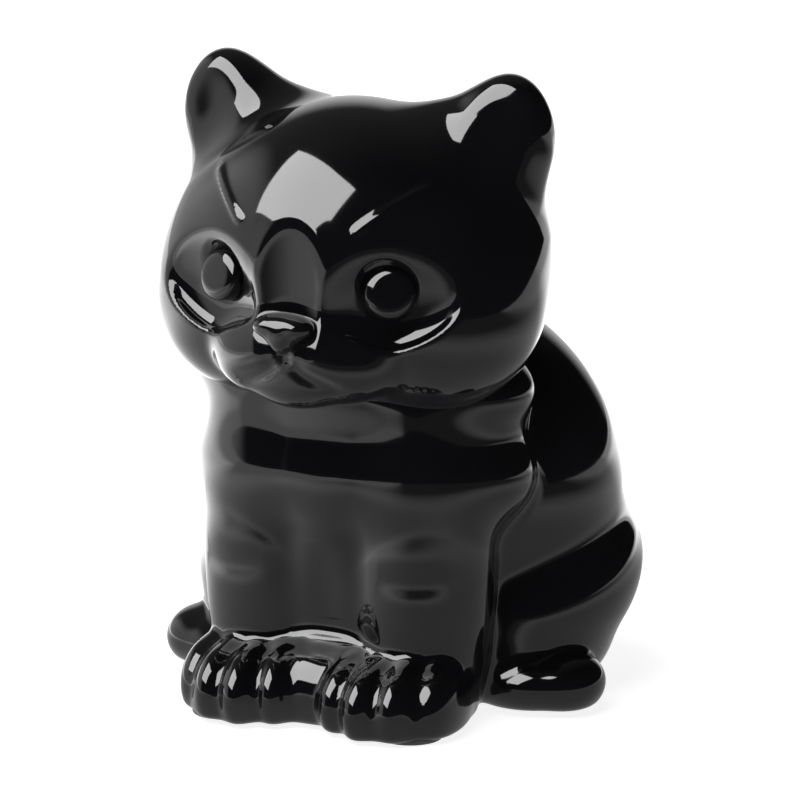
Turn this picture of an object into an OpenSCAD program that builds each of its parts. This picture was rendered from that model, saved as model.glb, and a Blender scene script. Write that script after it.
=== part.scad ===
// Seated kitten figurine in black glazed ceramic.
// It is put together from hollow slip castings (torso and head) and solid pressed pieces
// (ears, forelegs, hind paws, tail, nose, eyes) that are luted on before the glaze firing.
// Felt pads are glued under the paws and the rump. +Z is up and the kitten faces -Y.

/* [Head] */
// Width of the skull across the cheeks
head_w = 77; // [70:1:86]
// Depth of the skull from brow to nape
head_d = 62; // [56:1:70]
// Height of the skull without its ears
head_h = 57; // [50:1:64]
// How far the middle of the skull is ahead of the hind paws
head_forward = 13.5; // [9:0.5:17]
// Width of the muzzle across both whisker pads
muzzle_w = 24; // [20:1:28]
// How far the muzzle stands out of the skull
muzzle_reach = 1.5; // [0.5:0.5:3.5]
// Depth of the hollows round the eyes
eye_recess = 5.5; // [4:0.5:7]

/* [Ears] */
// Width of an ear along its root
ear_w = 31; // [24:1:34]
// Height of an ear above its root
ear_h = 19; // [14:1:24]
// Thickness of an ear at its root
ear_t = 12; // [9:0.5:14]
// Roundness of an ear's tip
ear_tip_r = 5.4; // [4:0.1:6.5]
// Angle of an ear round the skull from the crown
ear_spread = 45; // [38:1:52]

/* [Eyes] */
// Distance between the middles of the eyes
eye_gap = 34; // [28:1:38]
// Radius of a domed eye
eye_r = 4.7; // [3.5:0.1:5.6]
// Radius of the ring round an eye
well_r = 6.6; // [5.8:0.1:8]
// Height of the dome above its rim
eye_dome = 1.7; // [1:0.1:2.5]
// Angle that an eye looks outwards
eye_splay = 20; // [10:1:28]
// Slant of the hollows round the eyes
brow_slant = 24; // [0:1:35]

/* [Torso] */
// Height of the neck seat above the table
neck_h = 59; // [52:1:66]
// Width of the chest across the shoulders
chest_w = 66; // [58:1:72]
// Width of the back at its widest
back_w = 76; // [66:1:82]
// How far the rump reaches behind the hind paws' line
rump_reach = 44; // [38:1:50]
// Width of one haunch
haunch_w = 50; // [42:1:56]
// Height of the haunches
haunch_h = 42; // [34:1:48]

/* [Legs] */
// Width of a foreleg
foreleg_w = 25; // [21:1:28]
// Height of the toes of a forepaw
paw_h = 12; // [9:0.5:15]
// How far the forepaws reach ahead of the hind paws' line
paw_reach = 42; // [37:0.5:47]
// Width over the tips of both hind paws
stance_w = 89; // [80:1:98]
// Radius of the tail
tail_r = 5; // [3.5:0.5:6.5]

/* [Casting] */
// Thickness of the cast walls
wall = 4; // [3:0.5:5]
// Radius of the firing vent in the base
vent_r = 1.5; // [1:0.1:1.9]
// Radius of the bore through the neck
neck_bore_r = 8; // [6:0.5:10]
// Height of the spigot that locates the head
spigot_h = 3; // [2:0.5:4]
// Clearance filled with slip at a spigot or a socket
slip_gap = 0.2; // [0.1:0.05:0.4]

/* [Felt] */
// Radius of a felt pad
pad_r = 6; // [4:0.5:7]
// Thickness of a felt pad
pad_t = 1.5; // [1:0.1:2.5]
// How far a pad stands out of the ceramic
pad_proud = 0.5; // [0.3:0.1:0.8]

/* [Hidden] */
LEFT = 1;
RIGHT = -1;
FACETS = 28;
TOE_FACETS = 16;
GLAZE = [0.02, 0.02, 0.025];
FELT = [0.06, 0.06, 0.06];

// The skull is an ellipsoid, cut flat where it sits on the neck seat.
neck_sink = 3.5;
skull_r = [head_w, head_d, head_h] / 2;
skull_at = [0, -head_forward, neck_h + head_h / 2 - neck_sink];
// The y of the skull's face at a width x and a height z above the skull's middle.
function face_y(x, z) = skull_at.y - skull_r.y * sqrt(1 - pow(x / skull_r.x, 2) - pow(z / skull_r.z, 2));

nose_r = [2.7, 3.6, 2];
nose_drop = 7;
nose_at = [0, face_y(0, nose_drop) - muzzle_reach + 1, skull_at.z - nose_drop];
nose_tip = -nose_at.y + nose_r.y;

// The part's origin is under the middle of its bounding box.
centre_shift = (nose_tip - rump_reach) / 2;

eye_stub = 2.2;
eye_at = [eye_gap / 2, face_y(eye_gap / 2, 0) + eye_recess, skull_at.z];
hollow_r = [13.5, 10, 10];

neck_at = [0, -head_forward + 1, neck_h];
spigot_r = neck_bore_r + wall;
base_z = pad_proud;
back_at = [0, 10, neck_h - 20];
chest_at = [0, -11, neck_h - 13];
haunch_at = [17, 13.5, haunch_h / 2 + 1];
leg_x = foreleg_w / 2 + 1.5;
paw_x = foreleg_w / 2 + 4;
paw_y = -paw_reach + 11;
toe_pitch = (foreleg_w - 8) / 3;
hind_tip_r = 6;
pad_places = [[paw_x, paw_y], [-paw_x, paw_y], [19, 17], [-19, 17]];

// An ellipsoid of clay.
module lump(at, r, facets = FACETS) {
    translate(at) scale(r) sphere(1, $fn = facets);
}

// Two ellipsoids drawn together into one mass.
module mass(a, ra, b, rb, facets = FACETS) {
    hull() {
        lump(a, ra, facets);
        lump(b, rb, facets);
    }
}

// Mirrors its children for the kitten's right side.
module on_side(side) {
    mirror([side == RIGHT ? 1 : 0, 0, 0]) children();
}

// Moves a piece from the modelling frame to the part's frame.
module placed() {
    translate([0, centre_shift, 0]) children();
}

// Everything under the flat foot of the ceramic.
module below_foot() {
    translate([-100, -100, -50]) cube([200, 200, 50 + base_z]);
}

// Holes for the felt pads, a slip_gap wider than the pads.
module pad_seats() {
    for (p = pad_places)
        translate([p.x, p.y, -1]) cylinder(r = pad_r + slip_gap, h = 1 + pad_t, $fn = 48);
}

// The torso's masses, with every surface moved inwards by inset.
module torso_form(inset) {
    in = [inset, inset, inset];
    foot_y = rump_reach - back_at.y;
    mass(back_at, [back_w / 2, foot_y, 27] - in, [0, 9, 9], [back_w / 2 - 6, foot_y - 4, 12] - in);
    mass(chest_at, [chest_w / 2, 20, 20] - in, [0, -14, 12], [chest_w / 2 - 8, 13, 13] - in);
    for (side = [LEFT, RIGHT]) on_side(side)
        mass(haunch_at, [haunch_w / 2, 28, haunch_h / 2 - 1] - in,
             [haunch_at.x + 1, 9, 10], [haunch_w / 2 - 3, 25, 12] - in);
}

// The torso from outside: flat at its foot, with a bowl in its shoulders that holds the skull.
module torso_outside() {
    difference() {
        torso_form(0);
        below_foot();
        difference() {
            skull_form(0);
            below_neck(0);
        }
    }
}

// A hollow casting with a spigot for the head and a firing vent in its foot.
module body_shell() {
    color(GLAZE) placed() difference() {
        union() {
            torso_outside();
            translate([0, neck_at.y, neck_h - 2]) cylinder(r = spigot_r, h = 2 + spigot_h, $fn = 48);
        }
        intersection() {
            torso_form(wall);
            translate([-100, -100, base_z + wall]) cube([200, 200, neck_h - base_z - 2 * wall]);
            difference() {
                translate([-100, -100, 0]) cube(200);
                skull_form(-wall);
            }
        }
        translate([0, neck_at.y, neck_h - wall - 6]) cylinder(r = neck_bore_r, h = 30, $fn = 48);
        translate([0, 4, -1]) cylinder(r = vent_r, h = 2 * wall, $fn = 24);
        pad_seats();
    }
}

// Everything under the neck seat, raised by lift.
module below_neck(lift) {
    translate([-100, -100, neck_h + lift - 100]) cube([200, 200, 100]);
}

// The skull with its jowls, with every surface moved inwards by inset.
module skull_form(inset) {
    in = [inset, inset, inset];
    hull() {
        lump(skull_at, skull_r - in);
        for (side = [LEFT, RIGHT])
            lump(skull_at + [side * (head_w / 2 - 19), -2, -5], [18, 21, 18] - in);
    }
}

// The whisker pads, the chin and the bridge of the nose.
module muzzle_form(inset) {
    in = [inset, inset, inset];
    pad = muzzle_w / 4;
    for (side = [LEFT, RIGHT])
        mass([side * pad, face_y(pad, 13) - muzzle_reach + 8, skull_at.z - 13], [pad + 1, 8, 5.5] - in,
             [0, face_y(0, 9) - muzzle_reach + 7.5, skull_at.z - 9], [4.5, 6.5, 5] - in);
    mass([0, face_y(0, 19) - muzzle_reach + 7, skull_at.z - 19.5], [7, 7, 5] - in,
         [0, face_y(0, 16) + 9, skull_at.z - 15], [9, 8, 7] - in);
    mass([0, face_y(0, 8) + 5, skull_at.z - 4], [5.5, 6, 6] - in,
         [0, face_y(0, -12) + 8, skull_at.z + 10], [8, 8, 8] - in);
}

// Turns a piece drawn along +Z to lie along an eye's line of sight.
module eye_frame(side) {
    on_side(side) translate(eye_at) rotate([0, 0, eye_splay]) rotate([90, 0, 0]) children();
}

// The almond hollow round an eye, enlarged by grow.
module eye_hollow(grow) {
    rotate([0, 0, brow_slant]) lump([0, 0, hollow_r.z], hollow_r + grow * [1, 1, 1]);
}

// The head from outside, before the holes are cut in it.
module head_outside() {
    difference() {
        union() {
            skull_form(0);
            muzzle_form(0);
        }
        for (side = [LEFT, RIGHT]) eye_frame(side) eye_hollow(0);
    }
}

// The hollow inside the head, a wall's thickness from its outside.
module head_cavity() {
    difference() {
        union() {
            skull_form(wall);
            muzzle_form(wall);
        }
        below_neck(wall);
        for (side = [LEFT, RIGHT]) eye_frame(side) {
            eye_hollow(wall);
            translate([0, 0, -eye_stub - wall]) cylinder(r = well_r + 1, h = 20, $fn = 32);
        }
    }
}

// A hollow casting with sockets for the eyes and an opening for the spigot.
module head_shell() {
    color(GLAZE) placed() difference() {
        head_outside();
        below_neck(0);
        head_cavity();
        translate([0, neck_at.y, neck_h - 1])
            cylinder(r = spigot_r + slip_gap, h = wall + 4, $fn = 48);
        for (side = [LEFT, RIGHT]) eye_frame(side) {
            cylinder(r = well_r, h = hollow_r.z, $fn = 48);
            translate([0, 0, -eye_stub - slip_gap])
                cylinder(r = eye_r + slip_gap, h = eye_stub + slip_gap + 1, $fn = 48);
        }
    }
}

// An ear: a rounded triangle with a scooped face, trimmed to the skull that it is luted to.
module ear(side) {
    root = [skull_r.x * sin(ear_spread), 5, skull_r.z * cos(ear_spread)];
    tip = [-1, 2, ear_h - ear_tip_r];
    difference() {
        on_side(side) translate(skull_at + root) rotate([0, ear_spread - 11, 0]) difference() {
            union() {
                hull() {
                    lump([ear_w / 2 - 4, 0, -4], [4.5, ear_t / 2, 4.5]);
                    lump([-ear_w / 2 + 4, 0, -4], [4.5, ear_t / 2, 4.5]);
                    lump(tip, [ear_tip_r, ear_tip_r * 0.75, ear_tip_r]);
                }
                mass([0, 1, -5], [ear_w / 2 - 2, ear_t / 2 + 2, 9], tip - [0, 0, 4], [6.5, 4, 5]);
            }
            mass([0, -ear_t / 2 - 3, 0], [ear_w / 4 + 1, 5, 6], tip - [0, 8.4, 4], [3.6, 5, 4]);
        }
        head_outside();
    }
}

module left_ear() { color(GLAZE) placed() ear(LEFT); }
module right_ear() { color(GLAZE) placed() ear(RIGHT); }

// An eye: a round stub that fills its socket, under a dome.
module eye(side) {
    dome_r = (eye_r * eye_r + eye_dome * eye_dome) / (2 * eye_dome);
    eye_frame(side) {
        translate([0, 0, -eye_stub]) cylinder(r = eye_r, h = eye_stub, $fn = 64);
        intersection() {
            translate([0, 0, eye_dome - dome_r]) sphere(dome_r, $fn = 64);
            cylinder(r = eye_r, h = eye_dome + 1, $fn = 64);
        }
    }
}

module left_eye() { color(GLAZE) placed() eye(LEFT); }
module right_eye() { color(GLAZE) placed() eye(RIGHT); }

// A rounded triangle that is wide at its top.
module nose() {
    corners = [[-2.6, 1, 1.2], [2.6, 1, 1.2], [0, 1, -2]];
    color(GLAZE) placed() difference() {
        for (i = [0:2]) hull() {
            lump(nose_at, nose_r);
            lump(nose_at + corners[i], [2.2, 2.6, 1.7]);
            lump(nose_at + corners[(i + 1) % 3], [2.2, 2.6, 1.7]);
        }
        head_outside();
    }
}

// A foreleg with its paw and four toes, trimmed to the chest that it is luted to.
module foreleg(side) {
    leg_r = foreleg_w / 2;
    toe_r = [toe_pitch * 0.78, 6, paw_h / 2];
    difference() {
        on_side(side) {
            mass([leg_x, -18, 31], [leg_r + 2, 15, 17], [leg_x, -21, 10], [leg_r, 12.5, 10]);
            mass([paw_x, paw_y + 6, 6], [leg_r + 0.5, 9, 7.5], [paw_x, paw_y - 1, 5], [leg_r, 9, 6]);
            mass([1, paw_y + 2, 3], [6, 8, 4.5], [paw_x - 4, paw_y, 5], [8, 9, 5.5]);
            for (i = [0:3]) let (across = i - 1.5)
                mass([paw_x + across * toe_pitch, -paw_reach + 6 + 0.7 * pow(across, 2), paw_h / 2],
                     toe_r, [paw_x + across * toe_pitch, -paw_reach + 14, paw_h / 2], toe_r, TOE_FACETS);
        }
        translate([side == LEFT ? -50 : 0, -60, -1]) cube([50, 80, 60]);
        torso_outside();
        below_foot();
        pad_seats();
    }
}

module left_foreleg() { color(GLAZE) placed() foreleg(LEFT); }
module right_foreleg() { color(GLAZE) placed() foreleg(RIGHT); }

// A hind paw that shows beside the haunch, trimmed to the torso that it is luted to.
module hind_paw(side) {
    tip_x = stance_w / 2 - hind_tip_r;
    difference() {
        on_side(side) {
            mass([24, 2, 6], [12, 13, 7.5], [tip_x, 0, 4.6], [hind_tip_r, 8, 4.6]);
            mass([22, -5, 5], [10, 8, 6], [tip_x - 3, -4, 4.4], [6, 6, 4.4]);
            mass([22, -8, 4], [9, 5, 5], [tip_x - 7, -6.5, 4], [5, 4, 4]);
        }
        torso_outside();
        below_foot();
        pad_seats();
    }
}

module left_hind_paw() { color(GLAZE) placed() hind_paw(LEFT); }
module right_hind_paw() { color(GLAZE) placed() hind_paw(RIGHT); }

// The tail lies round the foot of the rump, from the spine to the right haunch.
module tail() {
    bends = 9;
    sweep = 84;
    route_r = [35, rump_reach - back_at.y - tail_r];
    function tail_at(i) = let (a = 90 + sweep * i / bends)
        [route_r.x * cos(a), back_at.y + route_r.y * sin(a), tail_r + base_z + 5 * pow(1 - i / bends, 2)];
    function tail_radius(i) = tail_r * (1 - 0.28 * i / bends);
    color(GLAZE) placed() difference() {
        for (i = [0:bends - 1]) hull() {
            lump(tail_at(i), tail_radius(i) * [1, 1, 1]);
            lump(tail_at(i + 1), tail_radius(i + 1) * [1, 1, 1]);
        }
        torso_outside();
        below_foot();
    }
}

// Four round pads, sunk into the paws and the rump.
module felt_pads() {
    color(FELT) placed() for (p = pad_places)
        translate([p.x, p.y, 0]) cylinder(r = pad_r, h = pad_t, $fn = 48);
}

body_shell();
head_shell();
left_ear();
right_ear();
left_eye();
right_eye();
nose();
left_foreleg();
right_foreleg();
left_hind_paw();
right_hind_paw();
tail();
felt_pads();
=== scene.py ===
"""Seated kitten figurine in black glazed ceramic, modelled as clay and dressed in glaze.

The clay is worked in millimetres in the modeller's own frame, whose y runs from the line of the
hind paws' tips. Each luted piece is cut from its clay where its CAD node is luted on, so the
glaze runs over the joint.
"""
import logging
import math
from collections.abc import Callable
from dataclasses import dataclass, field
from enum import Enum

import bpy
import numpy as np
from mathutils import Matrix, Vector


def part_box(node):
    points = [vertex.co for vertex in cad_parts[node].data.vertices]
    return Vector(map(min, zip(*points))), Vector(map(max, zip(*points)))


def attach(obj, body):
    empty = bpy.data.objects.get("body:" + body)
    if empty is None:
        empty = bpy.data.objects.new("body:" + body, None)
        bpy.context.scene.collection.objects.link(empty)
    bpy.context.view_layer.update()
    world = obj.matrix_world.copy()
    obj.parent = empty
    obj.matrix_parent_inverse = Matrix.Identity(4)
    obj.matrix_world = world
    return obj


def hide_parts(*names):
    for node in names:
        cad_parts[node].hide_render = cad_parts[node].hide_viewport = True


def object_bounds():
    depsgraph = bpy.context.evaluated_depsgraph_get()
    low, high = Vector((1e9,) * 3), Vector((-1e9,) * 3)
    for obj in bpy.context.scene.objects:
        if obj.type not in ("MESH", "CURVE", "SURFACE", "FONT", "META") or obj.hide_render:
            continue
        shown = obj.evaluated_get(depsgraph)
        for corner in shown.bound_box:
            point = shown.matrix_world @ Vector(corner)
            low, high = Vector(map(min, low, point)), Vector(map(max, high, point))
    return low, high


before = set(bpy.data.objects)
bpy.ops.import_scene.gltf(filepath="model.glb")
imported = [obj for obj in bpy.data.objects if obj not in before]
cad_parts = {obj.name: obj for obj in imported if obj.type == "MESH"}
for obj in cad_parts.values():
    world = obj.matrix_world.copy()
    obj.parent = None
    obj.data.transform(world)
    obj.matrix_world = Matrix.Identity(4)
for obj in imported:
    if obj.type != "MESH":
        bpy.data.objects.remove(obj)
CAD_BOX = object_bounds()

log = logging.getLogger("kitten")
Point = tuple[float, float, float]
Colour = tuple[float, float, float]
WHITE = (1.0, 1.0, 1.0, 1.0)
MM = 0.001
RUMP_REACH = 44.0
"""How far back the rump reaches in the modeller's frame."""
FOOT = 0.5
"""The height at which the clay is wiped flat."""
WIPED = 1.6
"""How softly the wiped foot turns up into the sides."""
SAME_PLACE = 1e-6
"""How near two vertices are taken to be one, in metres."""
LAYING_ROUNDS = 12
"""How many steps lay a stroke on the form."""
SLOPE_STEP = 0.02
"""The step over which a slope is measured."""
LEAST_STEEP = 0.3
"""The least squared slope that a move is divided by, which keeps moves short in sharp creases."""
LONGEST_MOVE = 2.0
"""The farthest that a vertex is moved in one round of settling."""
ON_SKIN = 0.6
"""How nearly a face has to lie along the clay's slope to be shaded with it; a cut face doesn't."""


def shift_y() -> float:
    """How far the modeller's frame is moved along y in the row's frame, in millimetres."""
    return CAD_BOX[1][1] / MM - RUMP_REACH


def to_row(at: Point) -> Vector:
    """A modeller's point in the row's frame, in metres."""
    return Vector((at[0], at[1] + shift_y(), at[2])) * MM


# ---------------------------------------------------------------- clay


class Side(Enum):
    """The kitten's own sides; the value is the sign of x."""

    LEFT = 1
    RIGHT = -1

    def of(self, at: Point) -> Point:
        """The left side's point or direction, on this side."""
        return (at[0] * self.value, at[1], at[2])

    def named(self, part: str) -> str:
        """The name of this side's part."""
        return f"{self.name.lower()}_{part}"


class Keep(Enum):
    """Which part of a cut piece is kept; the value is the boolean operation."""

    INSIDE = "INTERSECT"
    OUTSIDE = "DIFFERENCE"


class Work(Enum):
    """What a lump does to the clay that is already there."""

    ADD = "add"
    PRESS = "press"


@dataclass(frozen=True)
class Lump:
    """An ellipsoid of clay, or the hollow that one leaves.

    Args:
        at: Its middle.
        radii: Its half-widths along its own axes.
        turn: Its turn about x, y and z, in degrees.
        blend: How widely it is worked into its neighbours.
        work: Whether it adds clay or presses a hollow.
        paired: Whether the kitten's right side has its mirror image.
    """

    at: Point
    radii: Point
    turn: Point = (0.0, 0.0, 0.0)
    blend: float = 4.0
    work: Work = Work.ADD
    paired: bool = False

    def turning(self) -> np.ndarray:
        """The rotation matrix of the lump's turn."""
        angles = [math.radians(a) for a in self.turn]
        spin = [Matrix.Rotation(a, 3, axis) for a, axis in zip(angles, "XYZ")]
        return np.array(spin[2] @ spin[1] @ spin[0])

    def distance(self, points: np.ndarray) -> np.ndarray:
        """Nearly the signed distance of each point to the ellipsoid.

        Args:
            points: An n by 3 array in millimetres.

        Returns:
            n distances, negative inside.
        """
        local = (points - np.array(self.at)) @ self.turning()
        radii = np.array(self.radii)
        near = np.linalg.norm(local / radii, axis=1)
        steep = np.linalg.norm(local / radii**2, axis=1) + 1e-9
        return near * (near - 1.0) / steep


@dataclass(frozen=True)
class Stroke:
    """A line drawn in the clay with a round tool, tapering to both ends.

    Args:
        points: The tool's path.
        width: The tool's half-width.
        lift: How much clay it raises, or presses in where it is negative.
        paired: Whether the kitten's right side has its mirror image.
        taper: The share of the path over which the tool comes down at each end.
    """

    points: tuple[Point, ...]
    width: float
    lift: float
    paired: bool = True
    taper: float = 0.25

    def path(self, steps: int = 14) -> np.ndarray:
        """The path as a smooth curve through its points.

        Args:
            steps: Stretches between two neighbouring points.

        Returns:
            An m by 3 array.
        """
        p = [np.array(q, float) for q in (self.points[0], *self.points, self.points[-1])]
        out = []
        for a, b, c, d in zip(p, p[1:], p[2:], p[3:]):
            for t in np.arange(steps) / steps:
                out.append(0.5 * (2 * b + (c - a) * t + (2 * a - 5 * b + 4 * c - d) * t**2
                                  + (3 * b - a - 3 * c + d) * t**3))
        return np.array(out + [p[-1]])

    def rise(self, points: np.ndarray, path: np.ndarray) -> np.ndarray:
        """How far the clay rises at each point.

        Args:
            points: An n by 3 array in millimetres.
            path: The stroke's path as it lies on the form.

        Returns:
            n rises, negative where the tool presses in.
        """
        rise = np.zeros(len(points))
        reach = 3.2 * self.width
        at_ends = 0.15
        near = np.all((points > path.min(0) - reach) & (points < path.max(0) + reach), axis=1)
        if not near.any():
            return rise
        p = points[near]
        best = np.full(len(p), np.inf)
        along = np.zeros(len(p))
        for i, (a, b) in enumerate(zip(path, path[1:])):
            ab = b - a
            t = np.clip((p - a) @ ab / (ab @ ab), 0, 1)
            d = np.linalg.norm(p - a - t[:, None] * ab, axis=1)
            closer = d < best
            best[closer] = d[closer]
            along[closer] = (i + t[closer]) / (len(path) - 1)
        down = np.sin(np.clip(np.minimum(along, 1 - along) / self.taper, 0, 1) * np.pi / 2)
        across = np.exp(-((best / self.width) ** 2))
        rise[near] = self.lift * across * (at_ends + (1 - at_ends) * down)
        return rise


def mirrored(points: np.ndarray) -> np.ndarray:
    """The points seen in the kitten's mirror plane."""
    return points * np.array([-1.0, 1.0, 1.0])


def soft_min(a: np.ndarray, b: np.ndarray, blend: float) -> np.ndarray:
    """The union of two distances with a fillet of about blend."""
    h = np.clip(0.5 + 0.5 * (b - a) / blend, 0, 1)
    return b + (a - b) * h - blend * h * (1 - h)


@dataclass
class Clay:
    """A form worked from lumps and strokes.

    Args:
        lumps: Groups of lumps, each group worked together before it joins the form.
        strokes: Lines drawn at the end.
        joins: How widely each group is worked into the form.
        flat_foot: Whether the form is wiped flat at its foot.
        paths: The strokes' paths as they lie on the form, found when the clay is made.
    """

    lumps: list[list[Lump]]
    strokes: list[Stroke] = field(default_factory=list)
    joins: tuple[float, ...] = ()
    flat_foot: bool = False
    paths: list[np.ndarray] = field(init=False)

    def __post_init__(self) -> None:
        """Lays the strokes' paths on the form."""
        self.paths = [self.laid(stroke.path()) for stroke in self.strokes]

    def group(self, lumps: list[Lump], points: np.ndarray) -> np.ndarray:
        """The distance to one group of lumps.

        Args:
            lumps: The group.
            points: An n by 3 array in millimetres.

        Returns:
            n distances.
        """
        form = np.full(len(points), 1e3)
        for lump in lumps:
            for side in (points, mirrored(points))[: 2 if lump.paired else 1]:
                d = lump.distance(side)
                if lump.work is Work.ADD:
                    form = soft_min(form, d, lump.blend)
                else:
                    form = -soft_min(-form, d, lump.blend)
        return form

    def laid(self, path: np.ndarray) -> np.ndarray:
        """A path moved onto the form.

        Args:
            path: An m by 3 array in millimetres.

        Returns:
            The same points, on the form before any stroke is drawn.
        """
        for _ in range(LAYING_ROUNDS):
            gap, gradient = self.slope(path, self.form)
            path = path - (gap / np.maximum((gradient**2).sum(1), LEAST_STEEP))[:, None] * gradient
        return path

    def form(self, points: np.ndarray) -> np.ndarray:
        """The distance of each point to the form before any stroke is drawn.

        Args:
            points: An n by 3 array in millimetres.

        Returns:
            n distances, negative inside.
        """
        form = self.group(self.lumps[0], points)
        for lumps, join in zip(self.lumps[1:], self.joins):
            form = soft_min(form, self.group(lumps, points), join)
        return form

    def skin(self, points: np.ndarray) -> np.ndarray:
        """The distance of each point to the finished skin.

        Args:
            points: An n by 3 array in millimetres.

        Returns:
            n distances, negative inside.
        """
        skin = self.form(points)
        for stroke, path in zip(self.strokes, self.paths):
            skin = skin - stroke.rise(points, path)
            if stroke.paired:
                skin = skin - stroke.rise(mirrored(points), path)
        if self.flat_foot:
            skin = -soft_min(-skin, points[:, 2] - FOOT, WIPED)
        return skin

    def slope(
        self, points: np.ndarray, level: Callable[[np.ndarray], np.ndarray] | None = None
    ) -> tuple[np.ndarray, np.ndarray]:
        """The distance and its gradient at each point.

        Args:
            points: An n by 3 array in millimetres.
            level: The distance that is meant, the finished skin where it is left out.

        Returns:
            n distances and an n by 3 array of gradients.
        """
        level = level or self.skin
        here = level(points)
        gradient = np.empty_like(points)
        for axis in range(3):
            moved = points.copy()
            moved[:, axis] += SLOPE_STEP
            gradient[:, axis] = (level(moved) - here) / SLOPE_STEP
        return here, gradient

    def settle(self, obj: bpy.types.Object, rounds: int) -> None:
        """Brings a mesh's vertices onto the skin.

        Args:
            obj: The rough form, in the row's frame.
            rounds: How many times the vertices are moved.
        """
        mesh = obj.data
        points = vertices_mm(mesh)
        for _ in range(rounds):
            gap, gradient = self.slope(points)
            steep = np.maximum((gradient**2).sum(1), LEAST_STEEP)
            move = np.clip(gap / steep, -LONGEST_MOVE, LONGEST_MOVE)
            points -= move[:, None] * gradient
        set_vertices_mm(mesh, points)


def vertices_mm(mesh: bpy.types.Mesh) -> np.ndarray:
    """A mesh's vertices in the modeller's frame, in millimetres."""
    flat = np.empty(len(mesh.vertices) * 3)
    mesh.vertices.foreach_get("co", flat)
    return flat.reshape(-1, 3) / MM - np.array([0.0, shift_y(), 0.0])


def set_vertices_mm(mesh: bpy.types.Mesh, points: np.ndarray) -> None:
    """Writes vertices given in the modeller's frame."""
    flat = (points + np.array([0.0, shift_y(), 0.0])) * MM
    mesh.vertices.foreach_set("co", flat.ravel())
    mesh.update()


# ---------------------------------------------------------------- bench


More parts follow.
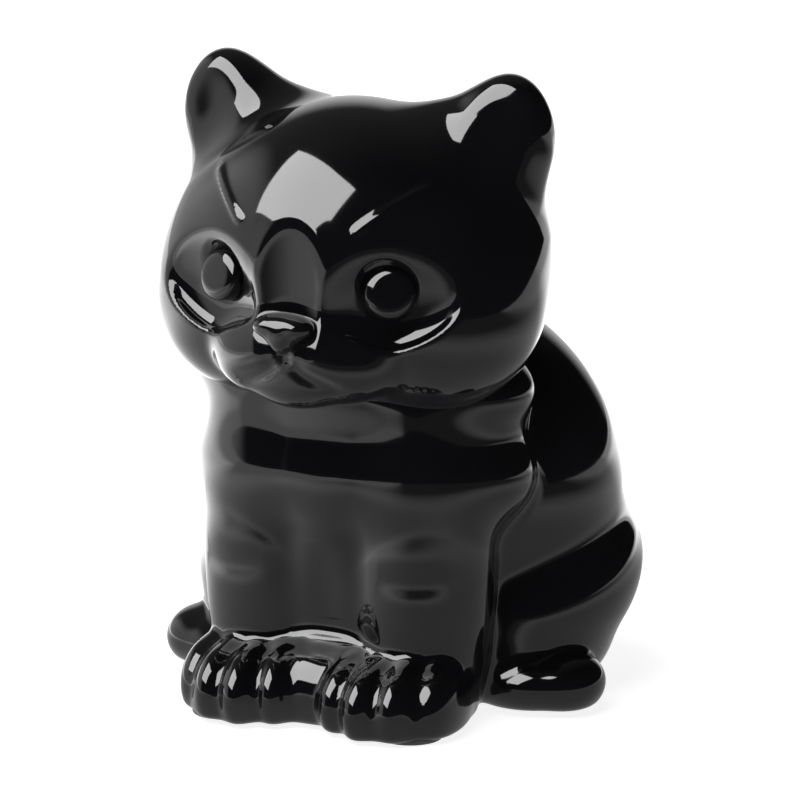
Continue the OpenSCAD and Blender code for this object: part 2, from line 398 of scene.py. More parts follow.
class Bench:
    """The operators that a form is made with. Every method leaves one object selected and active."""

    @staticmethod
    def pick(obj: bpy.types.Object) -> None:
        """Selects one object alone."""
        bpy.ops.object.select_all(action="DESELECT")
        obj.select_set(True)
        bpy.context.view_layer.objects.active = obj

    @staticmethod
    def bake_place(obj: bpy.types.Object) -> None:
        """Puts an object's place, turn and scale into its mesh."""
        Bench.pick(obj)
        bpy.ops.object.transform_apply(location=True, rotation=True, scale=True)

    @staticmethod
    def ball(lump: Lump, side: Side) -> bpy.types.Object:
        """A ball pressed to a lump's shape.

        Args:
            lump: The lump.
            side: Which of a pair it is.

        Returns:
            The ball, with its place in its mesh.
        """
        bpy.ops.object.select_all(action="DESELECT")
        bpy.ops.mesh.primitive_uv_sphere_add(segments=32, ring_count=20, radius=MM)
        ball = bpy.context.object
        place = Matrix.Translation(to_row(lump.at))
        turn = Matrix(lump.turning().tolist()).to_4x4()
        scale = Matrix.Diagonal((*lump.radii, 1.0))
        flip = Matrix.Diagonal((side.value, 1, 1, 1))
        ball.data.transform(flip @ place @ turn @ scale)
        return ball

    @staticmethod
    def remesh(obj: bpy.types.Object, grain: float) -> None:
        """Gives a form even faces of one size.

        Args:
            obj: The form.
            grain: The size of a face, in millimetres.
        """
        Bench.apply(obj, "REMESH", mode="VOXEL", voxel_size=grain * MM, use_smooth_shade=True)

    @staticmethod
    def ease(obj: bpy.types.Object, rounds: int) -> None:
        """Evens out a form's vertices.

        Args:
            obj: The form.
            rounds: How many times it is done.
        """
        Bench.apply(obj, "SMOOTH", factor=0.5, iterations=rounds)

    @staticmethod
    def join(objects: list[bpy.types.Object], name: str) -> bpy.types.Object:
        """Joins objects into one and names it."""
        bpy.ops.object.select_all(action="DESELECT")
        for obj in objects:
            obj.select_set(True)
        bpy.context.view_layer.objects.active = objects[0]
        if len(objects) > 1:
            bpy.ops.object.join()
        objects[0].name = name
        objects[0].data.name = name
        return objects[0]

    @staticmethod
    def apply(obj: bpy.types.Object, kind: str, **settings: object) -> None:
        """Adds a modifier with these settings and applies it.

        Args:
            obj: The object.
            kind: The modifier's type.
            settings: Its properties.
        """
        Bench.pick(obj)
        modifier = obj.modifiers.new(kind.title(), kind)
        for key, value in settings.items():
            setattr(modifier, key, value)
        bpy.ops.object.modifier_apply(modifier=modifier.name)

    @staticmethod
    def copy(obj: bpy.types.Object, name: str) -> bpy.types.Object:
        """A copy with a mesh of its own."""
        Bench.pick(obj)
        bpy.ops.object.duplicate(linked=False)
        twin = bpy.context.object
        twin.name = name
        twin.data.name = name
        return twin

    @staticmethod
    def bisect(obj: bpy.types.Object, at: Point, normal: Point | Vector) -> None:
        """Cuts away what lies on the far side of a plane and closes the cut.

        Args:
            obj: The object.
            at: A point on the plane, in the modeller's frame.
            normal: The plane's normal, towards what is cut away.
        """
        Bench.pick(obj)
        bpy.ops.object.mode_set(mode="EDIT")
        bpy.ops.mesh.select_all(action="SELECT")
        bpy.ops.mesh.bisect(
            plane_co=to_row(at), plane_no=normal, use_fill=True, clear_outer=True)
        bpy.ops.object.mode_set(mode="OBJECT")

    @staticmethod
    def knife_out(obj: bpy.types.Object, tool: bpy.types.Object, keep: Keep) -> None:
        """Keeps what is inside or outside a cutter.

        Args:
            obj: The object that is cut.
            tool: The cutter.
            keep: Which part is kept.
        """
        Bench.apply(obj, "BOOLEAN", operation=keep.value, object=tool, solver="MANIFOLD")

    @staticmethod
    def mend(obj: bpy.types.Object) -> None:
        """Deletes the flaps without thickness that cuts leave on their planes.

        Args:
            obj: The cut piece.
        """
        Bench.pick(obj)
        bpy.ops.object.mode_set(mode="EDIT")
        bpy.ops.mesh.select_mode(type="EDGE")
        bpy.ops.mesh.select_all(action="SELECT")
        bpy.ops.mesh.remove_doubles(threshold=SAME_PLACE)
        bpy.ops.mesh.quads_convert_to_tris(quad_method="FIXED", ngon_method="BEAUTY")
        for _ in range(2):
            bpy.ops.mesh.select_all(action="DESELECT")
            bpy.ops.mesh.select_non_manifold(
                use_wire=True, use_boundary=True, use_multi_face=False,
                use_non_contiguous=False, use_verts=False)
            bpy.ops.mesh.delete(type="EDGE")
        bpy.ops.mesh.select_mode(type="VERT")
        bpy.ops.object.mode_set(mode="OBJECT")

    @staticmethod
    def block(low: Point, high: Point) -> bpy.types.Object:
        """A cutter block between two corners.

        Args:
            low: The lowest corner.
            high: The highest corner.

        Returns:
            The block.
        """
        bpy.ops.object.select_all(action="DESELECT")
        middle = [(a + b) / 2 for a, b in zip(low, high)]
        bpy.ops.mesh.primitive_cube_add(size=1, location=to_row(middle))
        tool = bpy.context.object
        tool.scale = [(b - a) * MM for a, b in zip(low, high)]
        Bench.bake_place(tool)
        return tool

    @staticmethod
    def drop(*objects: bpy.types.Object) -> None:
        """Deletes objects that were only tools."""
        for obj in objects:
            bpy.data.objects.remove(obj, do_unlink=True)


def model(clay: Clay, name: str, grain: float) -> bpy.types.Object:
    """Models a form from its clay.

    Args:
        clay: The form.
        name: The new object's name.
        grain: The size of the mesh's faces, in millimetres.

    Returns:
        The form as one closed mesh.
    """
    balls = []
    for lump in (lump for group in clay.lumps for lump in group if lump.work is Work.ADD):
        for side in (Side.LEFT, Side.RIGHT)[: 2 if lump.paired else 1]:
            balls.append(Bench.ball(lump, side))
    form = Bench.join(balls, name)
    rough = min(2.0, 2.5 * grain)
    Bench.remesh(form, rough)
    if clay.flat_foot:
        Bench.bisect(form, (0.0, 0.0, FOOT), (0.0, 0.0, -1.0))
        Bench.remesh(form, rough)
    for next_grain, eased in ((0.75 * rough, 12), (grain, 6), (None, 6)):
        Bench.ease(form, eased)
        clay.settle(form, 3)
        if next_grain:
            Bench.ease(form, 3)
            Bench.remesh(form, next_grain)
    return form


def fine(full: float) -> float:
    return full


# ---------------------------------------------------------------- the head

EYE = (17.0, -35.6, 84.0)
EYE_SPLAY = 20.0
EYE_LOOK = (math.sin(math.radians(EYE_SPLAY)), -math.cos(math.radians(EYE_SPLAY)))
EYE_ACROSS = (-EYE_LOOK[1], EYE_LOOK[0])


def by_eye(across: float, out: float, up: float) -> Point:
    """A point given from the middle of the left eye: along the face, out of it, and up."""
    x, y = (e + a * across + o * out for e, a, o in zip(EYE, EYE_ACROSS, EYE_LOOK))
    return (x, y, EYE[2] + up)


@dataclass
class Head:
    """The head casting with what is luted on it: two ears, two eyes and the nose.

    Args:
        skull: The skull, brow, cheeks and the bridge of the nose.
        muzzle: The whisker pads, the chin and the lower lip.
        hollows: What is pressed in round the eyes.
        ears: The ears' masses and scoops.
        strokes: The brows, the mouth and the other drawn lines.
        eye_r: The radius of an eye.
        eye_dome: How far an eye's middle stands out.
        eye_stub: The length of the stub that an eye is set in with.
        eye_sunk: How deep the eye's edge lies in its socket.
        eye_raised: How far the eyes look up, as a share of how far they look out.
        ear_seam_at: A point on the plane where the left ear is luted on.
        ear_seam_out: That plane's normal, towards the ear.
    """

    skull: list[Lump] = field(default_factory=lambda: [
        Lump((0, -12.0, 86.6), (36.6, 28.8, 25.2), turn=(17, 0, 0)),
        Lump((0, -17.5, 88.5), (22, 21.8, 24.8), blend=8),
        Lump((17.5, -17.5, 76.6), (19.6, 19.4, 17.6), turn=(11, 0, 0), blend=6, paired=True),
        Lump((0, -36.0, 87.5), (7.6, 6.5, 17), turn=(-22, 0, 0), blend=3),
        Lump((0, -52.4, 90), (15, 12, 80), turn=(1, 0, 0), blend=0.9, work=Work.PRESS),
        Lump((0, -32.4, 70.8), (16, 10.6, 9.2), blend=5),
    ])
    hollows: list[Lump] = field(default_factory=lambda: [
        Lump(by_eye(0.9, 2.9, 0.3), (13.0, 3.7, 10.2), turn=(11, -22, EYE_SPLAY), blend=1.7,
             work=Work.PRESS, paired=True),
    ])
    muzzle: list[Lump] = field(default_factory=lambda: [
        Lump((7.4, -37.4, 70.4), (8.2, 5.6, 5.6), turn=(0, 14, 16), blend=5.5, paired=True),
        Lump((0, -38.6, 66.0), (7.0, 4.8, 4.2), blend=2.6),
    ])
    ears: list[Lump] = field(default_factory=lambda: [
        Lump((27.8, -9, 107.5), (8.8, 7.0, 12.8), turn=(0, 7, 0), blend=5, paired=True),
        Lump((20.5, -9, 105.0), (14.5, 7, 10.5), turn=(0, -24, 0), blend=5, paired=True),
        Lump((36.0, -41.2, 120), (22, 28.5, 38), turn=(0, 8, 15), blend=2.2, work=Work.PRESS,
             paired=True),
    ])
    strokes: list[Stroke] = field(default_factory=lambda: [
        Stroke(((11.6, -40, 95.0), (16.5, -36, 99.2), (23, -28, 104)), 1.0, 0.5, taper=0.3),
        Stroke(((0, -46, 73.5), (0.2, -44.5, 70.6)), 1.3, -0.7, paired=False),
        Stroke(((1.4, -44.6, 70.8), (5, -43.3, 68.8), (10, -40.5, 67.2)), 1.4, -1.0, taper=0.4),
    ])
    eye_r: float = 4.7
    eye_dome: float = 1.7
    eye_stub: float = 3.0
    eye_sunk: float = 0.4
    eye_raised: float = 0.28
    ear_seam_at: Point = (26.5, -8.5, 103.6)
    ear_seam_out: Point = (0.56, 0.0, 0.83)

    def clay(self) -> Clay:
        """The head's form without its eyes and nose."""
        well = Lump(by_eye(0, 2.4, 0), (6.9, 4.8, 6.9), turn=(0, 0, EYE_SPLAY), blend=0.6,
                    work=Work.PRESS, paired=True)
        face = self.skull + self.hollows + self.muzzle + [well]
        return Clay([face, self.ears], self.strokes, joins=(7.0,))

    def build(self) -> None:
        """Models the head and cuts the ears from it."""
        clay = self.clay()
        form = model(clay, "head_shell", fine(0.6))
        seams = {side: (side.of(self.ear_seam_at), Vector(side.of(self.ear_seam_out))) for side in Side}
        for side, (at, out) in seams.items():
            ear = Bench.copy(form, side.named("ear"))
            Bench.bisect(ear, at, -out)
            finish_piece(ear, clay, side.named("ear"))
        for at, out in seams.values():
            Bench.bisect(form, at, out)
        finish_piece(form, clay, "head_shell")
        for side in Side:
            self.eye(side)
        self.nose()

    def eye(self, side: Side) -> None:
        """Turns one eye: a low dome with a round shoulder, on its stub.

        Args:
            side: Which eye it is.
        """
        name = side.named("eye")
        arc = [(math.cos(a) ** 0.5 * self.eye_r, math.sin(a) ** 0.8 * self.eye_dome)
               for a in np.linspace(0, math.pi / 2, 14)]
        stub = [(0.0, -self.eye_stub), (self.eye_r * 0.96, -self.eye_stub)]
        profile = [*stub, *arc[:-1], (0.0, self.eye_dome)]
        edges = [(i, i + 1) for i in range(len(profile) - 1)]
        mesh = bpy.data.meshes.new(name)
        mesh.from_pydata([(r * MM, 0, h * MM) for r, h in profile], edges, [])
        eye = bpy.data.objects.new(name, mesh)
        bpy.context.collection.objects.link(eye)
        Bench.pick(eye)
        bpy.ops.object.mode_set(mode="EDIT")
        bpy.ops.mesh.select_all(action="SELECT")
        bpy.ops.mesh.spin(steps=64, angle=math.tau, center=(0, 0, 0), axis=(0, 0, 1))
        bpy.ops.mesh.select_all(action="SELECT")
        bpy.ops.mesh.remove_doubles(threshold=0.00001)
        bpy.ops.mesh.normals_make_consistent(inside=False)
        bpy.ops.object.mode_set(mode="OBJECT")
        look = Vector(side.of((*EYE_LOOK, self.eye_raised))).normalized()
        turn = look.to_track_quat("Z", "Y").to_matrix().to_4x4()
        seat = to_row(side.of(EYE)) - look * (self.eye_sunk * MM)
        eye.data.transform(Matrix.Translation(seat) @ turn)
        Bench.pick(eye)
        bpy.ops.object.shade_smooth_by_angle(angle=math.radians(50))
        dress(eye, name)

    def nose(self) -> None:
        """Models the nose, a rounded triangle with a flat top."""
        clay = Clay([[
            Lump((2.9, -43.9, 78.0), (2.9, 3.3, 1.9), turn=(0, 10, 14), blend=2.5, paired=True),
            Lump((0, -43.8, 77.0), (3.3, 3.5, 2.6), blend=2.5),
            Lump((0, -43.8, 75.0), (1.8, 3.0, 2.0), blend=2.2),
        ]])
        nose = model(clay, "nose", fine(0.22))
        finish_piece(nose, clay, "nose")


# ---------------------------------------------------------------- the body


@dataclass
class Body:
    """The torso casting with what is luted on it: forelegs, hind paws and the tail.

    Args:
        rear: The back, the haunches and the foot of the rump.
        hind_paws: The tips of the hind paws.
        front: The chest, the forelegs and the forepaws without their toes.
        strokes: The edge of the chest, the cleft between the forelegs and the knees.
        toe_spread: How far each toe is from the middle of the left forepaw.
        foreleg_block: The two corners of the block that the left foreleg is cut out with.
        hind_paw_block: The same for the left hind paw.
        tail_sweep: How far the tail lies round the rump, in degrees.
        tail_thick: The tail's half-thickness at its root and how much thinner its tip is.
        tail_oval: The half-widths of the oval that the tail lies along.
    """

    rear: list[Lump] = field(default_factory=lambda: [
        Lump((0, 12, 38), (40, 31.5, 37)),
        Lump((19.5, 13, 20.5), (23.8, 27, 18.5), turn=(24, 0, -6), blend=3.5, paired=True),
        Lump((20, 8, 8), (18.5, 22, 10), blend=5, paired=True),
        Lump((0, 10, 9.5), (31, 28, 11), blend=5),
    ])
    hind_paws: list[Lump] = field(default_factory=lambda: [
        Lump((30.5, -4.0, 5.2), (12, 9.2, 6.2), turn=(0, 0, 8), blend=1.6, paired=True),
        Lump((38.2, -2.5, 5.3), (6.4, 7.8, 5.8), blend=2.0, paired=True),
    ])
    front: list[Lump] = field(default_factory=lambda: [
        Lump((0, -10.5, 45.5), (33.6, 21, 17)),
        Lump((0, -10.5, 61), (33.4, 19.4, 13), blend=7),
        Lump((15.4, -17.0, 31), (13.0, 13.3, 44), blend=4, paired=True),
        Lump((0, -14, 18), (20, 11, 36), blend=5),
        Lump((0, -17, 29), (9, 12.0, 28), turn=(6, 0, 0), blend=4),
        Lump((15.0, -27.0, 2.5), (11.4, 13.0, 5.5), blend=5, paired=True),
        Lump((15.0, -26.6, 5.5), (11.0, 11.6, 7.8), blend=4, paired=True),
        Lump((0, -28.0, 6.0), (12, 8.6, 8.6), blend=5),
    ])
    strokes: list[Stroke] = field(default_factory=lambda: [
        Stroke(((-24, -24, 41), (-13, -29, 36.8), (-4, -31, 35.4), (4, -31, 35.4),
                (13, -31, 36.4), (23, -27, 39)), 3.4, -0.3, paired=False),
        Stroke(((0, -29, 34), (0, -28, 26), (0, -27, 15)), 3.3, -1.7, paired=False, taper=0.6),
        Stroke(((11, -31, 29.0), (19, -31, 28.4), (27, -28, 29.0)), 2.8, -0.5, taper=0.4),
    ])

    toe_spread: tuple[float, ...] = (-8.2, -2.8, 2.8, 7.8)
    foreleg_block: tuple[Point, Point] = ((0, -60, -5), (40, -19, 27))
    hind_paw_block: tuple[Point, Point] = ((24, -16, -5), (60, 16, 9))
    tail_sweep: float = 84.0
    tail_thick: tuple[float, float] = (5.0, 1.4)
    tail_oval: tuple[float, float] = (35.5, 29.0)

    def toes(self) -> list[Lump]:
        """The toes of the forepaws, of which the outer ones lie a little further back."""
        return [
            Lump((15.4 + x, -33.4 + 0.07 * (x + 2) ** 2, 5.7), (4.3, 9.2, 7.8), turn=(6, 0, x),
                 blend=2.0, paired=True)
            for x in self.toe_spread
        ]

    def clay(self) -> Clay:
        """The body's form without the tail."""
        groups = [self.rear + self.hind_paws, self.front + self.toes()]
        return Clay(groups, self.strokes, joins=(2.2,), flat_foot=True)

    def build(self) -> None:
        """Models the body and cuts the luted pieces from it."""
        clay = self.clay()
        form = model(clay, "body_shell", fine(0.65))
        luted = {"foreleg": self.foreleg_block, "hind_paw": self.hind_paw_block}
        tools = []
        for side in Side:
            for part, corners in luted.items():
                tool = Bench.block(*corners)
                if side is Side.RIGHT:
                    tool.data.transform(Matrix.Diagonal((-1, 1, 1, 1)))
                    tool.data.flip_normals()
                piece = Bench.copy(form, side.named(part))
                Bench.knife_out(piece, tool, Keep.INSIDE)
                tools.append(tool)
                Bench.mend(piece)
                finish_piece(piece, clay, side.named(part))
        for tool in tools:
            Bench.knife_out(form, tool, Keep.OUTSIDE)
        Bench.drop(*tools)
        Bench.mend(form)
        finish_piece(form, clay, "body_shell")
        self.tail()

    def tail(self) -> None:
        """Models the tail, which lies round the foot of the rump on the kitten's right."""
        (thick, thinner), (wide, deep) = self.tail_thick, self.tail_oval
        lumps = []
        for along in np.linspace(0, 1, 13):
            turn = math.radians(90 + self.tail_sweep * along)
            radius = thick - thinner * along
            above = radius + FOOT + 5 * (1 - along) ** 2
            at = (wide * math.cos(turn), 10 + deep * math.sin(turn), above)
            lumps.append(Lump(at, (radius, radius, radius), blend=2.5))
        clay = Clay([lumps], flat_foot=True)
        tail = model(clay, "tail", fine(0.5))
        finish_piece(tail, clay, "tail")


@dataclass
class Pads:
    """Four felt pads under the paws and the rump.

    Args:
        thickness: The thickness of the felt.
        radius: The radius of a pad.
        rear_x: How far the rear pads are from the middle.
    """

    thickness: float = 1.5
    radius: float = 6.0
    rear_x: float = 19.0

    def build(self) -> None:
        """Cuts the pads and rounds their edges."""
        low, high = (Vector(c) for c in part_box("felt_pads"))
        radius, thickness = self.radius * MM, self.thickness * MM
        front = ((high.x - low.x) / 2 - radius, low.y + radius, thickness / 2)
        rear = (self.rear_x * MM, high.y - radius, thickness / 2)
        discs = []
        for side in Side:
            for at in (front, rear):
                bpy.ops.object.select_all(action="DESELECT")
                bpy.ops.mesh.primitive_cylinder_add(
                    vertices=48, radius=radius, depth=thickness, location=side.of(at))
                disc = bpy.context.object
                Bench.bake_place(disc)
                Bench.apply(disc, "BEVEL", width=0.35 * MM, segments=3, limit_method="ANGLE")
                discs.append(disc)
        pads = Bench.join(discs, "felt_pads_fitted")
        Bench.pick(pads)
        bpy.ops.object.shade_smooth_by_angle(angle=math.radians(40))
        pads.data.materials.clear()
        pads.data.materials.append(Felt().material())
        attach(pads, "root")
        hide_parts("felt_pads")
        log.info("felt_pads: %d faces", len(pads.data.polygons))


def finish_piece(piece: bpy.types.Object, clay: Clay, node: str) -> None:
    """Smooths a piece's shading with the clay's own slope and dresses it.

    Args:
        piece: The cut piece.
        clay: The clay that it was cut from.
        node: The CAD node that it stands for.
    """
    mesh = piece.data
    points = vertices_mm(mesh)
    _, gradient = clay.slope(points)
    gradient /= np.maximum(np.linalg.norm(gradient, axis=1), 1e-9)[:, None]
    mesh.polygons.foreach_set("use_smooth", np.ones(len(mesh.polygons), bool))
    faces = np.empty(len(mesh.polygons) * 3)
    mesh.polygons.foreach_get("normal", faces)
    totals = np.empty(len(mesh.polygons), int)
    mesh.polygons.foreach_get("loop_total", totals)
    corners = np.empty(len(mesh.loops), int)
    mesh.loops.foreach_get("vertex_index", corners)
    face_normals = np.repeat(faces.reshape(-1, 3), totals, axis=0)
    loop_normals = gradient[corners]
    off_skin = (loop_normals * face_normals).sum(1) < ON_SKIN
    loop_normals[off_skin] = face_normals[off_skin]
    mesh.normals_split_custom_set(loop_normals.tolist())
    dress(piece, node)


def dress(piece: bpy.types.Object, node: str) -> None:
    """Glazes a piece and ties it to the CAD node that it stands for.

    Args:
        piece: The finished piece.
        node: The CAD node's name.
    """
    piece.name = f"{node}_glazed"
    piece.data.name = piece.name
    piece.data.materials.clear()
    piece.data.materials.append(Glaze().material())
    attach(piece, "root")
    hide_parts(node)
    log.info("%s: %d faces", node, len(piece.data.polygons))


# ---------------------------------------------------------------- finishes


class Wire:
    """A number on a shader socket, with arithmetic that adds Math nodes."""

    def __init__(self, graph: "Graph", socket: bpy.types.NodeSocket) -> None:
        """Holds the socket that carries the number."""
        self.graph = graph
        self.socket = socket

    def math(self, operation: str, *others: object, first: object = None) -> "Wire":
        """A Math node on this wire.

        Args:
            operation: The node's operation.
            others: What follows this wire in the node.
            first: What comes before it.

        Returns:
            The result's wire.
        """
        inputs = [first, self, *others] if first is not None else [self, *others]
        return self.graph.add("ShaderNodeMath", {"operation": operation}, dict(enumerate(inputs)))

    def __add__(self, other: object) -> "Wire":
        """Sum."""
        return self.math("ADD", other)

    __radd__ = __add__

    def __mul__(self, other: object) -> "Wire":
        """Product."""
        return self.math("MULTIPLY", other)

    __rmul__ = __mul__

    def __sub__(self, other: object) -> "Wire":
        """Difference."""
        return self.math("SUBTRACT", other)

    def __rsub__(self, other: object) -> "Wire":
        """Difference from something else."""
        return self.math("SUBTRACT", first=other)


class Graph:
    """A material's node graph, or the room's."""

    def __init__(self, name: str, world: bpy.types.World | None = None) -> None:
        """Starts an empty graph with an output, for a new material or for a world."""
        self.owner = world or bpy.data.materials.new(name)
        self.owner.use_nodes = True
        self.tree = self.owner.node_tree
        self.tree.nodes.clear()
        kind = "ShaderNodeOutputWorld" if world else "ShaderNodeOutputMaterial"
        self.output = self.tree.nodes.new(kind)

    def node(
        self, kind: str, settings: dict[str, object], inputs: dict[object, object]
    ) -> bpy.types.Node:
        """Adds a node.

        Args:
            kind: The node's type.
            settings: Its properties, set first; "stops" is a ramp's list of place and colour.
            inputs: The values or wires of its sockets, by name or number.

        Returns:
            The node.
        """
        node = self.tree.nodes.new(kind)
        for key, value in settings.items():
            if key == "stops":
                ramp = node.color_ramp
                for element, (place, colour) in zip(ramp.elements, value):
                    element.position, element.color = place, colour
                for place, colour in value[2:]:
                    ramp.elements.new(place).color = colour
            else:
                setattr(node, key, value)
        for key, value in inputs.items():
            if isinstance(value, Wire):
                self.tree.links.new(value.socket, node.inputs[key])
            else:
                node.inputs[key].default_value = value
        return node

    def add(
        self, kind: str, settings: dict[str, object], inputs: dict[object, object], out: object = 0
    ) -> Wire:
        """Adds a node and gives the wire of one of its outputs."""
        return Wire(self, self.node(kind, settings, inputs).outputs[out])

    def place(self) -> Wire:
        """The Object coordinates."""
        return self.add("ShaderNodeTexCoord", {}, {}, "Object")

    def noise(self, scale: float, detail: float) -> Wire:
        """A cloudy pattern through the piece, from 0 to 1.

        Args:
            scale: How many clouds there are to the metre.
            detail: How many finer layers it has.

        Returns:
            The pattern's wire.
        """
        inputs = {"Vector": self.place(), "Scale": scale, "Detail": detail}
        return self.add("ShaderNodeTexNoise", {}, inputs)

    def tint(self, pattern: Wire, colour: Colour, lighter: float) -> Wire:
        """A colour that a pattern makes lighter.

        Args:
            pattern: The pattern.
            colour: The colour where the pattern is 0.
            lighter: How many times lighter it is where the pattern is 1.

        Returns:
            The colour's wire.
        """
        light = tuple(c * lighter for c in colour)
        inputs = {0: pattern, 6: (*colour, 1), 7: (*light, 1)}
        return self.add("ShaderNodeMix", {"data_type": "RGBA"}, inputs, 2)

    def grain(self, height: Wire, strength: float, depth: float) -> Wire:
        """A fine relief that only the shading has.

        Args:
            height: The relief's pattern.
            strength: How much of it shows.
            depth: How deep it is, in metres.

        Returns:
            The wire of the normals.
        """
        inputs = {"Strength": strength, "Distance": depth, "Height": height}
        return self.add("ShaderNodeBump", {}, inputs, "Normal")

    def glow(self, strength: float | Wire) -> bpy.types.Node:
        """A white glow."""
        inputs = {"Color": WHITE, "Strength": strength}
        return self.node("ShaderNodeEmission", {}, inputs)

    def shade(self, surface: bpy.types.Node) -> bpy.types.Material | bpy.types.World:
        """Links the surface to the output and gives the material or the world."""
        self.tree.links.new(surface.outputs[0], self.output.inputs["Surface"])
        return self.owner


@dataclass(frozen=True)
class Glaze:
    """Black glaze, fired to a mirror gloss.

    Args:
        colour: The glaze's body colour.
        roughness: Its least roughness.
        uneven: How much rougher it is in places.
        ior: Its index of refraction.
    """

    colour: Colour = (0.0035, 0.0036, 0.0042)
    roughness: float = 0.03
    uneven: float = 0.05
    ior: float = 1.52

    def material(self) -> bpy.types.Material:
        """The material, made once."""
        done = bpy.data.materials.get("black_glaze")
        if done:
            return done
        graph = Graph("black_glaze")
        cloud = graph.noise(55.0, 3.0)
        return graph.shade(graph.node("ShaderNodeBsdfPrincipled", {}, {
            "Base Color": graph.tint(cloud, self.colour, 2.2),
            "Roughness": cloud * self.uneven + self.roughness,
            "Normal": graph.grain(graph.noise(210.0, 1.0), 0.035, 0.0004),
            "IOR": self.ior,
        }))


@dataclass(frozen=True)
class Felt:
    """Pressed charcoal felt.

    Args:
        colour: Its colour.
    """

    colour: Colour = (0.035, 0.035, 0.038)

    def material(self) -> bpy.types.Material:
        """The material."""
        graph = Graph("charcoal_felt")
        fibre = graph.noise(1800.0, 4.0)
        return graph.shade(graph.node("ShaderNodeBsdfPrincipled", {}, {
            "Base Color": graph.tint(fibre, self.colour, 2.4),
            "Roughness": 0.95,
            "Normal": graph.grain(fibre, 0.6, 0.0002),
            "Sheen Weight": 0.3,
        }))


# ---------------------------------------------------------------- the studio


@dataclass(frozen=True)
class Card:
    """A glowing card that only the glaze sees.

    Args:
        name: The card's name.
        azimuth: The card's angle round the kitten from its front, in degrees.
        elevation: Its angle above the horizon, in degrees.
        distance: Its distance, in metres.
        size: Its width and height, in metres.
        glow: How bright it is; the floor by the camera is about 1.
    """

    name: str
    azimuth: float
    elevation: float
    distance: float
    size: tuple[float, float]
    glow: float


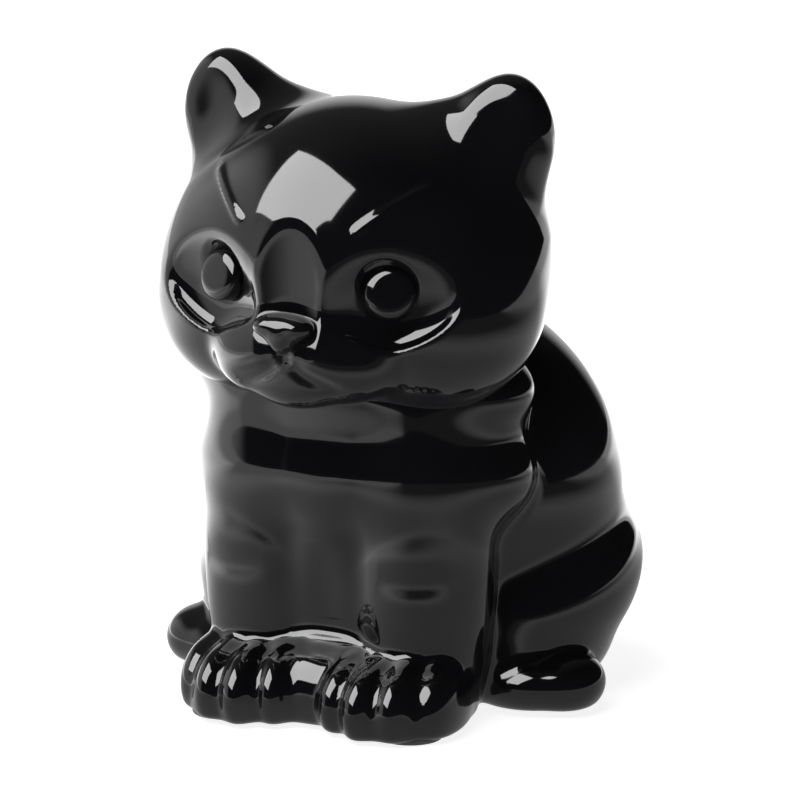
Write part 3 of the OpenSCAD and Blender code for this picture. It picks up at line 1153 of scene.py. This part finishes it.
@dataclass
class Studio:
    """A white floor in a dark room, a tall soft box and the camera.

    Args:
        azimuth: The camera's angle round the kitten from its front, in degrees.
        elevation: The camera's angle above the horizon, in degrees.
        distance: The camera's distance, in metres.
        aim: The point that the camera looks at.
        view_width: The width of the view at that point, in metres.
        soft_box: The soft box.
        key_toward: The azimuth and the elevation of the light that casts the shadow, in degrees.
        key_size: That light's width and height, in metres.
        key_power: Its power, in watts.
        floor_side: The side of the floor, in metres.
    """

    azimuth: float = 25.5
    elevation: float = 14.0
    distance: float = 1.25
    aim: Point = (1.76, 0.84, 54.4)
    view_width: float = 0.1488
    soft_box: Card = Card("soft_box", -32, 45, 1.3, (1.36, 1.0), 10.0)
    key_toward: tuple[float, float] = (-30.0, 62.0)
    key_size: tuple[float, float] = (1.2, 1.0)
    key_power: float = 9.0
    floor_side: float = 6.0

    def build(self) -> None:
        """Sets everything up."""
        self.floor()
        self.mirrored_floor()
        self.room()
        self.hang(self.soft_box)
        self.key()
        self.camera()
        bpy.context.scene.view_settings.view_transform = "Standard"

    def toward(self, azimuth: float, elevation: float) -> Vector:
        """The unit direction of an azimuth and an elevation, in degrees."""
        a, e = math.radians(azimuth), math.radians(elevation)
        return Vector((math.sin(a) * math.cos(e), -math.cos(a) * math.cos(e), math.sin(e)))

    def plane(
        self, name: str, size: float, height: float, material: bpy.types.Material
    ) -> bpy.types.Object:
        """Lays a square plane that is not part of the object.

        Args:
            name: Its name.
            size: Its side, in metres.
            height: Its height, in metres.
            material: What it is made of.

        Returns:
            The plane.
        """
        bpy.ops.object.select_all(action="DESELECT")
        bpy.ops.mesh.primitive_plane_add(size=size, location=(0, 0, height))
        plane = bpy.context.object
        Bench.bake_place(plane)
        plane.name = name
        plane.data.materials.append(material)
        return plane

    def floor(self) -> None:
        """The white floor that the camera sees, with a faint shadow under the kitten."""
        graph = Graph("white_floor")
        diffuse = graph.node("ShaderNodeBsdfDiffuse", {}, {"Color": (0.8, 0.8, 0.8, 1)})
        layers = (Wire(graph, node.outputs[0]) for node in (diffuse, graph.glow(0.86)))
        mixed = graph.node("ShaderNodeAddShader", {}, dict(enumerate(layers)))
        self.plane("floor", self.floor_side, 0.0, graph.shade(mixed)).visible_glossy = False

    def mirrored_floor(self) -> None:
        """The floor as the glaze mirrors it, its glow painted light: bright towards the soft box,
        dimmer on the other side, with a painted shadow close round the kitten.
        """
        graph = Graph("mirrored_floor")
        parts = graph.node("ShaderNodeSeparateXYZ", {}, {0: graph.place()})
        x, y = (Wire(graph, parts.outputs[i]) for i in (0, 1))
        reach = graph.add("ShaderNodeVectorMath", {"operation": "LENGTH"}, {0: graph.place()}, 1)
        near = self.ramp(graph, reach, 0.42, 0.12)
        # Painted shadow: this term dims the mirrored floor close round the kitten.
        painted_kitten_shadow = self.ramp(graph, reach, 0.21, 0.1)
        far = self.ramp(graph, reach, 0.45, 0.9)
        left = self.ramp(graph, x, 0.05, -0.2)
        side = self.ramp(graph, y * 0.9 - x, 0.05, 0.26) * (1.0 - far * 0.8)
        back = self.ramp(graph, y, 0.1, 0.45)
        # Painted light and shade in the glow: brighter towards the soft box and behind, dimmer right by
        # the kitten.
        strength = near * 0.75 - painted_kitten_shadow * 0.4 + left + side * 2.2 + back * 0.8 + 0.1
        material = graph.shade(graph.glow(strength))
        self.only_mirrored(self.plane("mirrored_floor", self.floor_side, -0.1 * MM, material))

    @staticmethod
    def only_mirrored(plane: bpy.types.Object) -> None:
        """Leaves a plane to be seen in the glaze alone."""
        plane.visible_camera = False
        plane.visible_diffuse = False
        plane.visible_shadow = False

    def ramp(self, graph: Graph, along: Wire, low: float, high: float) -> Wire:
        """A soft step from 0 to 1.

        Args:
            graph: The graph.
            along: What it steps along.
            low: Where it is 0.
            high: Where it is 1.

        Returns:
            The wire of the step.
        """
        return graph.add("ShaderNodeMapRange", {"interpolation_type": "SMOOTHSTEP"},
                         {0: along, 1: low, 2: high, 3: 0.0, 4: 1.0})

    def room(self) -> None:
        """The room: white behind the kitten, black beside and over the camera."""
        bpy.context.scene.world = bpy.data.worlds.new("room")
        graph = Graph("room", bpy.context.scene.world)
        way = graph.add("ShaderNodeTexCoord", {}, {}, "Generated")
        behind = -self.toward(self.azimuth, 0)
        over = self.toward(-120, 45)
        white = self.lobe(graph, way, behind, 0.76, 0.96)
        grey = self.lobe(graph, way, over, 0.35, 1.0)
        wall = self.lobe(graph, way, self.toward(-84, -4), 0.68, 0.86)
        seen = graph.add("ShaderNodeLightPath", {}, {}, "Is Camera Ray")
        strength = white + grey * 0.11 + wall * 0.9 + seen + 0.008
        inputs = {"Color": WHITE, "Strength": strength}
        graph.shade(graph.node("ShaderNodeBackground", {}, inputs))

    def lobe(self, graph: Graph, way: Wire, toward: Vector, low: float, high: float) -> Wire:
        """How nearly a direction points towards another, from 0 to 1.

        Args:
            graph: The room's graph.
            way: The direction.
            toward: The other direction.
            low: The cosine that gives 0.
            high: The cosine that gives 1.

        Returns:
            The wire of the result.
        """
        dot = graph.add("ShaderNodeVectorMath", {"operation": "DOT_PRODUCT"}, {0: way, 1: toward}, 1)
        return self.ramp(graph, dot, low, high)

    def hang(self, card: Card) -> None:
        """Hangs a card facing the kitten's head.

        Args:
            card: The card.
        """
        graph = Graph(card.name)
        plane = self.plane(card.name, 1.0, 0.0, graph.shade(graph.glow(card.glow)))
        aim = to_row((0, -15, 75))
        way = self.toward(card.azimuth, card.elevation)
        turn = way.to_track_quat("Z", "Y").to_matrix().to_4x4()
        scale = Matrix.Diagonal((*card.size, 1, 1))
        plane.data.transform(Matrix.Translation(aim + way * card.distance) @ turn @ scale)
        self.only_mirrored(plane)

    def key(self) -> None:
        """The light that draws the kitten's faint shadow on the floor."""
        light = bpy.data.lights.new("key", "AREA")
        light.shape = "RECTANGLE"
        light.size, light.size_y = self.key_size
        light.energy = self.key_power
        lamp = bpy.data.objects.new("key", light)
        bpy.context.collection.objects.link(lamp)
        way = self.toward(*self.key_toward)
        lamp.location = to_row((0, 0, 60)) + way * self.soft_box.distance
        lamp.rotation_euler = way.to_track_quat("Z", "Y").to_euler()
        lamp.visible_glossy = False
        lamp.visible_camera = False

    def camera(self) -> None:
        """A long lens at the kitten's left front."""
        data = bpy.data.cameras.new("camera")
        camera = bpy.data.objects.new("camera", data)
        bpy.context.collection.objects.link(camera)
        way = self.toward(self.azimuth, self.elevation)
        camera.location = to_row(self.aim) + way * self.distance
        camera.rotation_euler = way.to_track_quat("Z", "Y").to_euler()
        data.sensor_width = 36.0
        data.lens = data.sensor_width * self.distance / self.view_width
        data.clip_start = 0.01
        bpy.context.scene.camera = camera


def main() -> None:
    """Builds the kitten piece by piece, then the studio."""
    logging.basicConfig(level=logging.INFO, format="%(name)s %(message)s")
    Body().build()
    Head().build()
    Pads().build()
    Studio().build()


if __name__ == "__main__":
    main()
